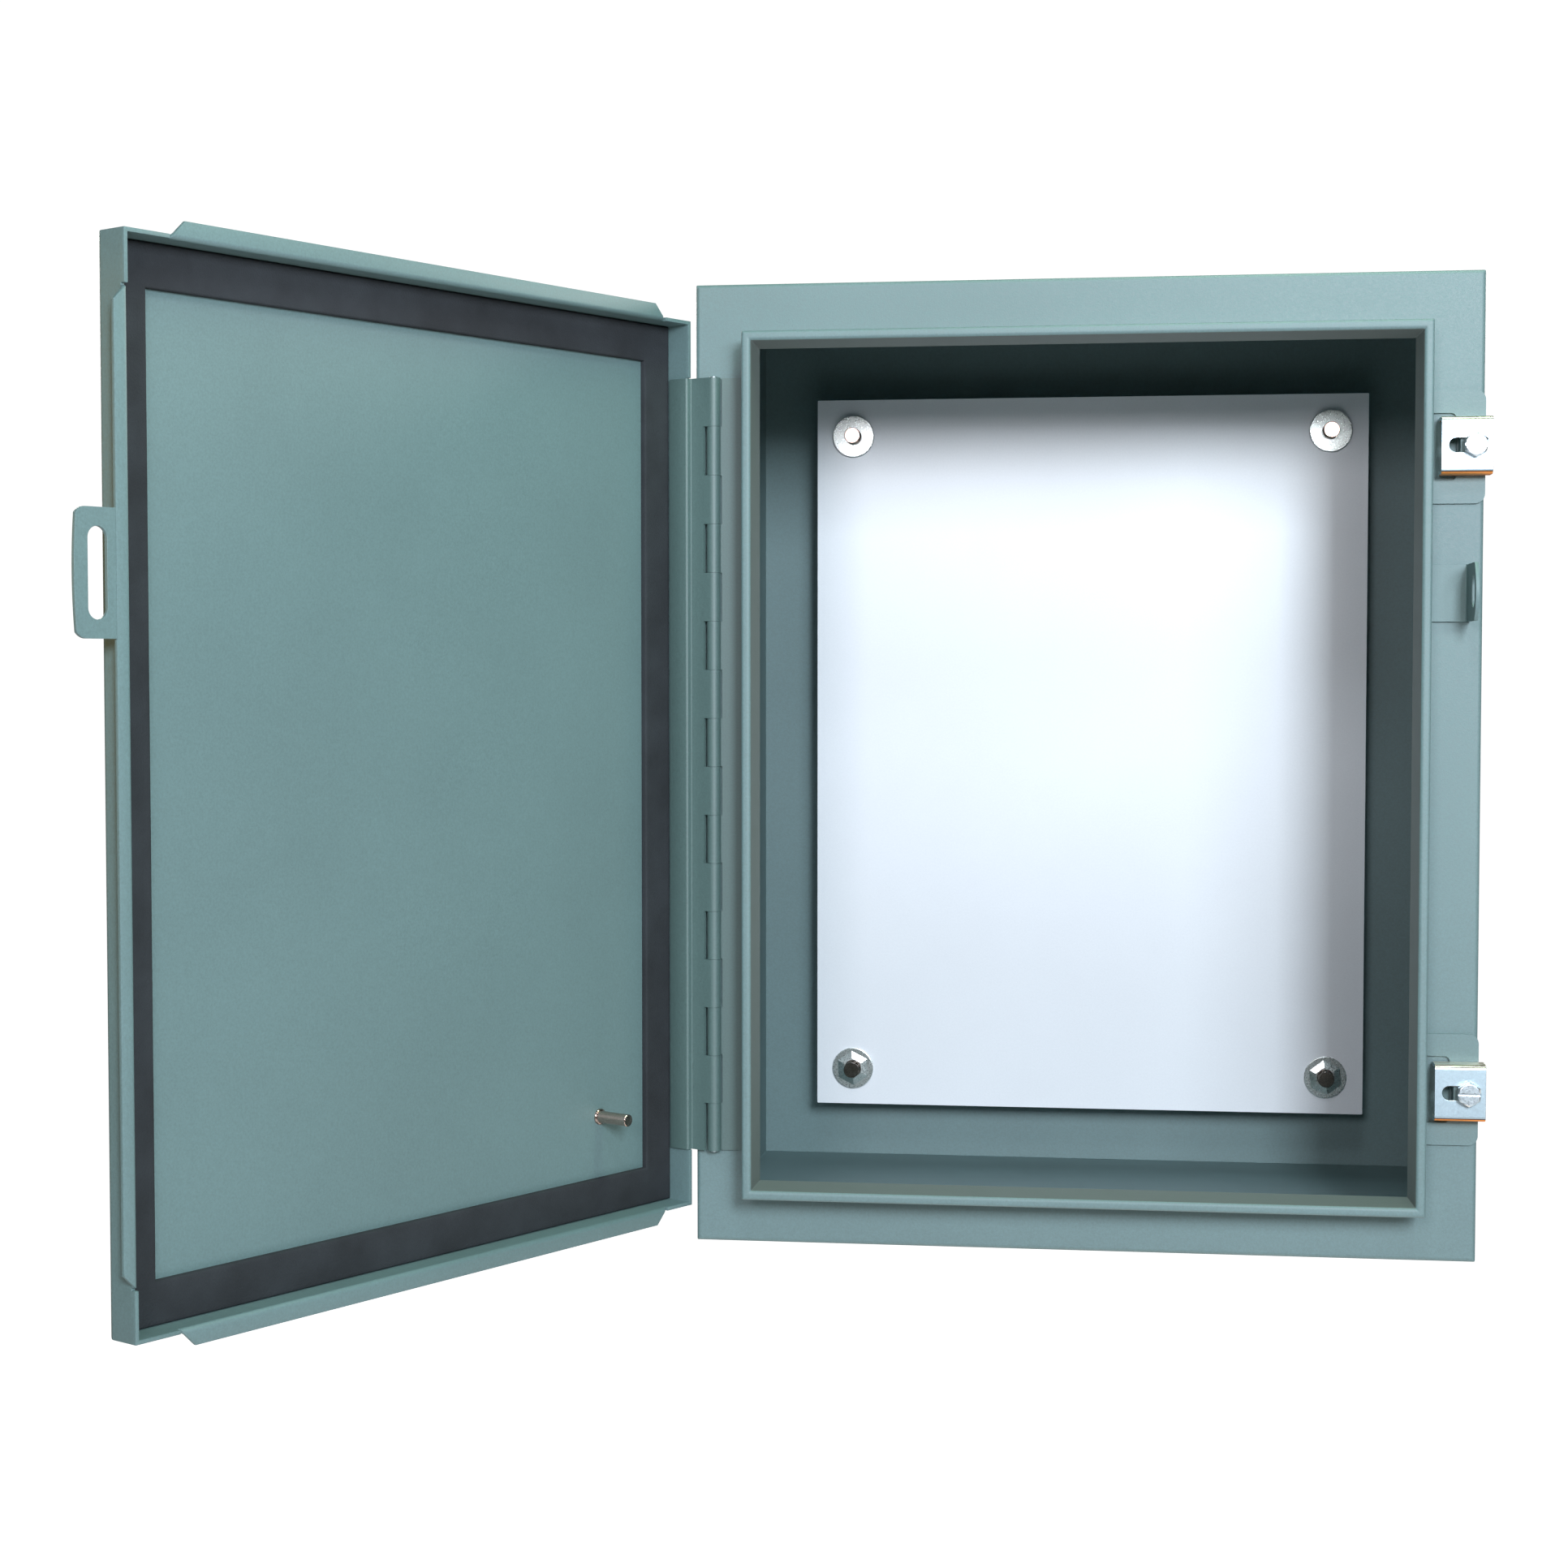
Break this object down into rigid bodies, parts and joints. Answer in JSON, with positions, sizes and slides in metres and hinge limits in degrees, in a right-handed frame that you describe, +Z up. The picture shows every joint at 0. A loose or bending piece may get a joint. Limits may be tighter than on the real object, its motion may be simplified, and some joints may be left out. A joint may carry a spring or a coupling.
{
  "type": "wall-mount control panel enclosure",
  "caption": "Teal-grey sheet-steel wall enclosure with a left-hinged gasketed door standing open, an inner mounting panel, screw clamps, hasp and padlock staple.",
  "frame": {"origin": "centre of the wall bolt pattern, on the wall plane at the rear faces of the mounting feet", "axes": "+Z up, +Y into the wall, front of the cabinet faces -Y, +X to the right when facing it"},
  "size_m": [0.6107, 0.6004, 0.5588],
  "materials": {
    "teal_powder_coat": "fine-textured powder coat, satin",
    "panel_white": "smooth white enamel, semi-gloss",
    "zinc_hardware": "dull zinc plate",
    "stainless": "bright stainless steel",
    "copper_stud": "copper flash on the weld studs",
    "gasket_foam": "matt closed-cell foam"
  },
  "bodies": {
    "cabinet": {"cabinet_shell": "teal_powder_coat", "cabinet_back": "teal_powder_coat", "mounting_foot_top": "teal_powder_coat", "mounting_foot_bottom": "teal_powder_coat", "panel_stud_ul": "copper_stud", "panel_stud_ur": "copper_stud", "panel_stud_ll": "copper_stud", "panel_stud_lr": "copper_stud", "inner_panel": "panel_white", "flange_nut_ul": "zinc_hardware", "flange_nut_ur": "zinc_hardware", "flange_nut_ll": "zinc_hardware", "flange_nut_lr": "zinc_hardware", "clamp_bracket_upper": "teal_powder_coat", "clamp_bracket_lower": "teal_powder_coat", "clamp_boss_upper": "teal_powder_coat", "clamp_boss_lower": "teal_powder_coat", "padlock_staple": "teal_powder_coat", "hinge_leaf_cabinet": "teal_powder_coat", "hinge_pin": "stainless"},
    "door": {"door_pan": "teal_powder_coat", "hinge_leaf_door": "teal_powder_coat", "door_gasket": "gasket_foam", "door_hasp": "teal_powder_coat", "door_ground_stud": "copper_stud"},
    "clamp_upper": {"clamp_upper": "stainless"},
    "clamp_lower": {"clamp_lower": "stainless"},
    "clamp_screw_upper": {"clamp_screw_upper": "stainless"},
    "clamp_screw_lower": {"clamp_screw_lower": "stainless"}
  },
  "joints": [
    {"name": "door_swing", "type": "hinge", "parent": "cabinet", "child": "door", "pos_m": [-0.193, -0.26095, 0], "axis": [0, 0, -1], "range_deg": [-120, 6]},
    {"name": "clamp_upper_slide", "type": "slide", "parent": "cabinet", "child": "clamp_upper", "axis": [1, 0, 0], "range_m": [0, 0.0093]},
    {"name": "clamp_lower_slide", "type": "slide", "parent": "cabinet", "child": "clamp_lower", "axis": [1, 0, 0], "range_m": [0, 0.0093]},
    {"name": "clamp_screw_upper_turn", "type": "hinge", "parent": "cabinet", "child": "clamp_screw_upper", "pos_m": [0.197, -0.2712, 0.1643], "axis": [0, -1, 0], "continuous": true},
    {"name": "clamp_screw_lower_turn", "type": "hinge", "parent": "cabinet", "child": "clamp_screw_lower", "pos_m": [0.197, -0.2712, -0.1643], "axis": [0, -1, 0], "continuous": true}
  ]
}
